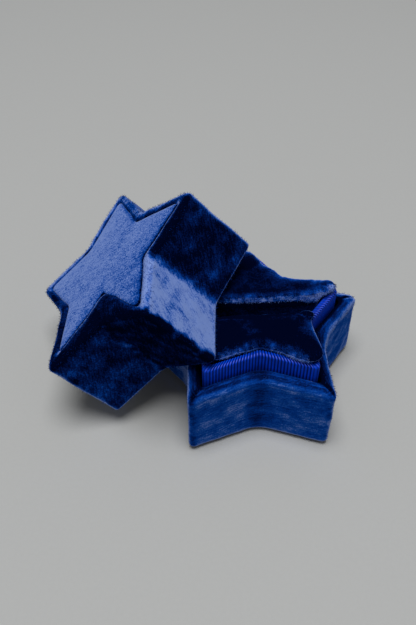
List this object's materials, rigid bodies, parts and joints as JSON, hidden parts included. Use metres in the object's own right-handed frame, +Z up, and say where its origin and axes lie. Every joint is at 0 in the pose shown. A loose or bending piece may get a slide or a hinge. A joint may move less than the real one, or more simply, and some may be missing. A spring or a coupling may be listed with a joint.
{
  "type": "velvet ring box",
  "caption": "Star-shaped velvet ring box: a slip lid leans on its base, which has a ribbon-covered collar and a padded ring slot.",
  "frame": {"origin": "middle of the base's underside, on the floor", "axes": "+Z up, -Y towards the front pad, +Y through the base's back tip, -X towards the leaning lid"},
  "size_m": [0.094, 0.0668, 0.0596],
  "materials": {
    "velvet": "short-pile velvet",
    "panel_velvet": "short-pile velvet, nap brushed light",
    "pad_velvet": "short-pile velvet, nap standing",
    "bottom_cover": "flat velveteen",
    "ribbon": "ribbed grosgrain",
    "lining": "flat velveteen",
    "board": "grey bookbinding board",
    "foam": "soft foam"
  },
  "bodies": {
    "base": {"base_bottom_cover": "bottom_cover", "base_side_velvet": "velvet", "base_wall_board": "board", "base_floor_board": "board", "collar_board": "board", "collar_ribbon": "ribbon", "insert_card": "board", "back_pad_foam": "foam", "back_pad_velvet": "pad_velvet", "front_pad_foam": "foam", "front_pad_velvet": "pad_velvet"},
    "lid": {"lid_side_velvet": "velvet", "lid_wall_board": "board", "lid_top_board": "board", "lid_top_velvet": "panel_velvet", "lid_wall_lining": "lining", "lid_ceiling_lining": "lining"}
  },
  "joints": [
    {"name": "lid_lift", "type": "slide", "parent": "base", "child": "lid", "axis": [0, 0, 1], "range_m": [0, 0.045]}
  ]
}
